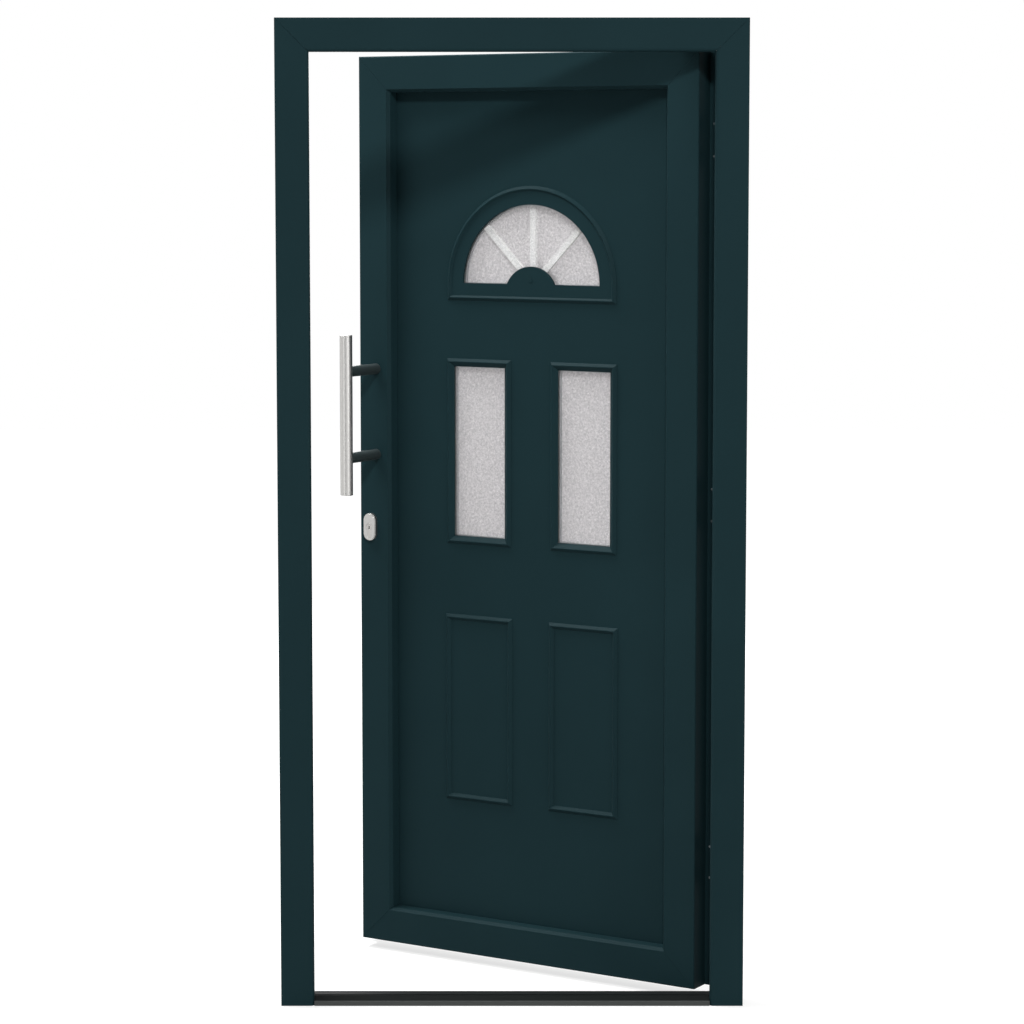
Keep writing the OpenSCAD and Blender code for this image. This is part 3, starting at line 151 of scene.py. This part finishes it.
def sill_metal():
    """Dark anodised aluminium: matt and nearly black, with a paler front lip that is partly rubbed metal
    and partly a painted highlight.
    """
    made, tree, point = start("dark_anodised_aluminium")
    # Drawing streaks run along the door, 0.55 mm wide; the real ones are about 0.1 mm and too fine
    streak_sizes = (25, 0.55, 0.55)
    along = add(tree, "ShaderNodeVectorMath", {
        0: point, 1: [cells(size) for size in streak_sizes]}, operation="MULTIPLY")
    streak = add(tree, "ShaderNodeTexNoise", {
        "Vector": along.outputs[0], "Scale": 1.0, "Detail": 3.0})
    coat = add(tree, "ShaderNodeMix", {
        FACTOR: streak.outputs["Fac"], FIRST: srgb("#131515"),
        SECOND: srgb("#1c1f1f")}, data_type="RGBA")
    # Paler colour for the front lip: rubbed metal, plus a painted highlight where light catches the front
    # face
    rubbed_and_highlit = add(tree, "ShaderNodeMix", {
        FACTOR: streak.outputs["Fac"], FIRST: srgb("#404342"),
        SECOND: srgb("#545756")}, data_type="RGBA")
    depth = add(tree, "ShaderNodeSeparateXYZ", {0: point}).outputs["Y"]
    highlit_lip_mask = add(tree, "ShaderNodeMapRange", {
        "Value": depth, "From Min": SILL_FRONT + 0.5 * MM, "From Max": SILL_FRONT + 2 * MM,
        "To Min": 1.0, "To Max": 0.0})
    base = add(tree, "ShaderNodeMix", {
        FACTOR: highlit_lip_mask.outputs[0], FIRST: coat.outputs[MIXED],
        SECOND: rubbed_and_highlit.outputs[MIXED]}, data_type="RGBA")
    edge = add(tree, "ShaderNodeBevel", {"Radius": 1.0 * MM}, samples=EDGE_SAMPLES)
    bump = add(tree, "ShaderNodeBump", {
        "Height": streak.outputs["Fac"], "Strength": 0.04, "Distance": 0.1 * MM,
        "Normal": edge.outputs[0]})
    return close(made, tree, add(tree, "ShaderNodeBsdfPrincipled", {
        "Base Color": base.outputs[MIXED], "Roughness": 0.7, "Specular IOR Level": 0.03,
        "Normal": bump.outputs[0]}))


def zinc_plate():
    """Galvanised steel: crystal patches a few millimetres across, each a little lighter or darker."""
    made, tree, point = start("galvanised_steel")
    patch = add(tree, "ShaderNodeTexVoronoi", {"Vector": point, "Scale": cells(5.5)})
    base = add(tree, "ShaderNodeMix", {
        FACTOR: patch.outputs["Distance"], FIRST: srgb("#5e6366"),
        SECOND: srgb("#878d90")}, data_type="RGBA")
    rough = add(tree, "ShaderNodeMapRange", {
        "Value": patch.outputs["Distance"], "To Min": 0.32, "To Max": 0.5})
    return close(made, tree, add(tree, "ShaderNodeBsdfPrincipled", {
        "Base Color": base.outputs[MIXED], "Metallic": 1.0, "Roughness": rough.outputs[0]}))


def matt(name, code, grain_size, depth, roughness):
    """Matt rubber, plastic or foam: soft colour drift, with grain of a size and depth in mm."""
    made, tree, point = start(name)
    grain = add(tree, "ShaderNodeTexNoise", {
        "Vector": point, "Scale": cells(grain_size), "Detail": 4.0})
    base = add(tree, "ShaderNodeMix", {
        FACTOR: grain.outputs["Fac"], FIRST: srgb(code, factor=0.63),
        SECOND: srgb(code, factor=1.37)}, data_type="RGBA")
    bump = add(tree, "ShaderNodeBump", {
        "Height": grain.outputs["Fac"], "Strength": 0.2, "Distance": depth * MM})
    return close(made, tree, add(tree, "ShaderNodeBsdfPrincipled", {
        "Base Color": base.outputs[MIXED], "Roughness": roughness, "Specular IOR Level": 0.1,
        "Normal": bump.outputs[0]}))


def satin_glass():
    """Etched inner pane: a mottled pale grey that takes light from behind and hides the inside."""
    made, tree, point = start("satin_etched_glass")
    fleck = add(tree, "ShaderNodeTexNoise", {
        "Vector": point, "Scale": cells(5), "Detail": 3.0})
    speckle = add(tree, "ShaderNodeMapRange", {
        "Value": fleck.outputs["Fac"], "From Min": FLECK_LOW, "From Max": FLECK_HIGH})
    base = add(tree, "ShaderNodeMix", {
        FACTOR: speckle.outputs[0], FIRST: srgb("#cccacb"),
        SECOND: srgb("#ebe9e9")}, data_type="RGBA")
    front = add(tree, "ShaderNodeBsdfPrincipled", {
        "Base Color": base.outputs[MIXED], "Roughness": 0.45, "Specular IOR Level": 0.3})
    behind = add(tree, "ShaderNodeBsdfTranslucent", {"Color": base.outputs[MIXED]})
    return close(made, tree, add(tree, "ShaderNodeMixShader", {
        0: SATIN_SHARE, 1: front.outputs[0], 2: behind.outputs[0]}))


def patterned_glass():
    """Stippled cast glass: nearly clear, with hammered grains that catch light and dim what is behind."""
    made, tree, point = start("stippled_cast_glass")
    pebble = add(tree, "ShaderNodeTexVoronoi", {
        "Vector": point, "Scale": cells(4)}, feature="SMOOTH_F1")
    fleck = add(tree, "ShaderNodeTexNoise", {
        "Vector": point, "Scale": cells(4), "Detail": 2.0})
    speckle = add(tree, "ShaderNodeMapRange", {
        "Value": fleck.outputs["Fac"], "From Min": FLECK_LOW, "From Max": FLECK_HIGH})
    tint = add(tree, "ShaderNodeMix", {
        FACTOR: speckle.outputs[0], FIRST: srgb("#efeff0"),
        SECOND: srgb("#ffffff")}, data_type="RGBA")
    bump = add(tree, "ShaderNodeBump", {
        "Height": pebble.outputs["Distance"], "Strength": 0.3, "Distance": 1 * MM})
    cloudy = add(tree, "ShaderNodeBsdfPrincipled", {
        "Base Color": tint.outputs[MIXED], "Roughness": 0.35, "Specular IOR Level": 0.2,
        "Normal": bump.outputs[0]})
    through = add(tree, "ShaderNodeBsdfTransparent", {"Color": tint.outputs[MIXED]})
    return close(made, tree, add(tree, "ShaderNodeMixShader", {
        0: CLEAR_SHARE, 1: cloudy.outputs[0], 2: through.outputs[0]}))


LOOKS = {
    "pvc_foil": pvc_foil(),
    "hinge_coat": coated_metal("satin_coated_hinge", DOOR_TONE, roughness=0.42),
    "zinc_steel": zinc_plate(),
    "satin_steel": brushed("satin_stainless_steel", "#b1b0ae", streak_sizes=(16, 16, 0.45),
                           low=0.36, high=0.46),
    "lock_nickel": brushed("satin_nickel_plate", "#b2b0ad", streak_sizes=(0.65, 0.65, 16),
                           low=0.26, high=0.4),
    "dark_post": coated_metal("dark_coated_post", "#293132", roughness=0.42),
    "sill_metal": sill_metal(),
    "sill_plastic": matt("black_glass_filled_plastic", "#1c1e1f", grain_size=2, depth=0.1,
                         roughness=0.6),
    "seal": matt("black_rubber_seal", "#0d0e0f", grain_size=1.1, depth=0.1, roughness=0.75),
    "foam": matt("insulating_foam", "#d9d1b4", grain_size=2.5, depth=0.4, roughness=0.9),
    "satin_glass": satin_glass(),
    "patterned_glass": patterned_glass(),
    "spacer": brushed("mill_aluminium_spacer", "#b9bcbe", streak_sizes=(0.8, 0.8, 12),
                      low=0.35, high=0.5),
    "bar_white": coated_metal("off_white_coated_bar", "#f7f7f2", roughness=0.45),
}
for entry in frame["record"]["subparts"]:
    mesh = nodes[entry["node"]].data
    mesh.materials.clear()
    mesh.materials.append(LOOKS[entry["material_slot"]])


# Studio: a pale floor that keeps a faint shadow, and a white backdrop. Sizes are in metres.
FLOOR_HALF = 14.0
FLOOR_TOP = -1 * MM
# The floor's own white, dimmer near the part so that the shadow shows
NEAR, NEAR_WHITE = 1.0, 0.7
FAR, FAR_WHITE = 4.0, 0.97
# Light from all round on the part
AIR_STRENGTH = 0.25


def seen_straight(tree):
    """1 where the camera, a mirror or a pane looks at the studio, 0 where it only lights the part."""
    path = add(tree, "ShaderNodeLightPath").outputs
    pair = add(tree, "ShaderNodeMath", {
        0: path["Is Camera Ray"], 1: path["Is Glossy Ray"]}, operation="MAXIMUM")
    return add(tree, "ShaderNodeMath", {
        0: pair.outputs[0], 1: path["Is Transmission Ray"]}, operation="MAXIMUM").outputs[0]


def studio_white():
    """Matt white studio card: a mild bounce, the part's faint shadow, and white to the horizon."""
    made, tree, point = start("white_studio_card")
    cloud = add(tree, "ShaderNodeTexNoise", {"Vector": point, "Scale": cells(1400)})
    tone = add(tree, "ShaderNodeMix", {
        FACTOR: cloud.outputs["Fac"], FIRST: srgb("#979796"),
        SECOND: srgb("#a7a7a6")}, data_type="RGBA")
    card = add(tree, "ShaderNodeBsdfDiffuse", {"Color": tone.outputs[MIXED]})
    away = add(tree, "ShaderNodeVectorMath", {0: point}, operation="LENGTH").outputs["Value"]
    white = add(tree, "ShaderNodeMapRange", {
        "Value": away, "From Min": NEAR, "From Max": FAR,
        "To Min": NEAR_WHITE, "To Max": FAR_WHITE})
    glow = add(tree, "ShaderNodeEmission", {"Strength": white.outputs[0]})
    lit = add(tree, "ShaderNodeAddShader", {0: card.outputs[0], 1: glow.outputs[0]})
    return close(made, tree, add(tree, "ShaderNodeMixShader", {
        0: seen_straight(tree), 1: card.outputs[0], 2: lit.outputs[0]}))


floor_mesh = bpy.data.meshes.new("studio_floor")
floor_mesh.from_pydata([(x * FLOOR_HALF, y * FLOOR_HALF, FLOOR_TOP)
                        for x, y in ((-1, -1), (1, -1), (1, 1), (-1, 1))], [], [(0, 1, 2, 3)])
floor = bpy.data.objects.new("studio_floor", floor_mesh)
floor_mesh.materials.append(studio_white())
scene.collection.objects.link(floor)

world = bpy.data.worlds.new("studio_air")
scene.world = world
world.use_nodes = True
air = world.node_tree
air.nodes.clear()
direction = add(air, "ShaderNodeTexCoord").outputs["Generated"]
upward = add(air, "ShaderNodeSeparateXYZ", {0: direction}).outputs["Z"]
rise = add(air, "ShaderNodeMapRange", {"Value": upward, "From Min": -0.3, "From Max": 1.0})
sky = add(air, "ShaderNodeMix", {
    FACTOR: rise.outputs[0], FIRST: srgb("#8c8c8c"), SECOND: srgb("#ffffff")}, data_type="RGBA")
around = add(air, "ShaderNodeBackground", {"Color": sky.outputs[MIXED], "Strength": AIR_STRENGTH})
backdrop = add(air, "ShaderNodeBackground", {"Color": srgb("#ffffff"), "Strength": 1.0})
seen = add(air, "ShaderNodeMixShader", {
    0: seen_straight(air), 1: around.outputs[0], 2: backdrop.outputs[0]})
add(air, "ShaderNodeOutputWorld", {"Surface": seen.outputs[0]})


def lamp(name, place, target, width, height, power):
    """A soft area light at place, facing target."""
    data = bpy.data.lights.new(name, "AREA")
    data.shape = "RECTANGLE"
    data.size, data.size_y, data.energy = width, height, power
    made = bpy.data.objects.new(name, data)
    made.location = place
    made.rotation_euler = (Vector(target) - Vector(place)).to_track_quat("-Z", "Y").to_euler()
    scene.collection.objects.link(made)


lamp("key_in_front", place=(0.3, -5.0, 5.6), target=(0.1, 0.2, 1.3),
     width=0.7, height=0.7, power=275)
lamp("top_on_ridges", place=(-1.7, 0.9, 4.4), target=(0.1, 0.3, 1.2),
     width=2.2, height=2.2, power=283)
lamp("low_card_at_left", place=(-3.2, -4.4, 0.6), target=(0.1, 0.2, 0.5),
     width=3.0, height=1.6, power=36)
lamp("rim_at_left", place=(-3.5, 0.9, 1.3), target=(0.4, 0.0, 1.1),
     width=0.5, height=3.0, power=6)
lamp("fill_from_right", place=(4.5, -5.0, 2.0), target=(0, 0, 1.0),
     width=3.0, height=3.0, power=100)
lamp("back_on_glass", place=(0.5, 5.0, 3.0), target=(0, 0, 1.2),
     width=5.0, height=4.0, power=190)

# Camera a little above eye height, in front of the frame's middle and tilted down by 5.6 degrees
EYE = (0.0, -6.346, 1.78)
TILT = 0.0974
camera_data = bpy.data.cameras.new("camera")
camera_data.lens = 106.82
camera_data.sensor_width = 36.0
camera_data.shift_y = -0.05
camera_data.clip_end = 100.0
camera = bpy.data.objects.new("camera", camera_data)
camera.location = EYE
camera.rotation_euler = (math.radians(90.0) - TILT, 0.0, 0.0)
scene.collection.objects.link(camera)
scene.camera = camera
scene.view_settings.view_transform = "Standard"
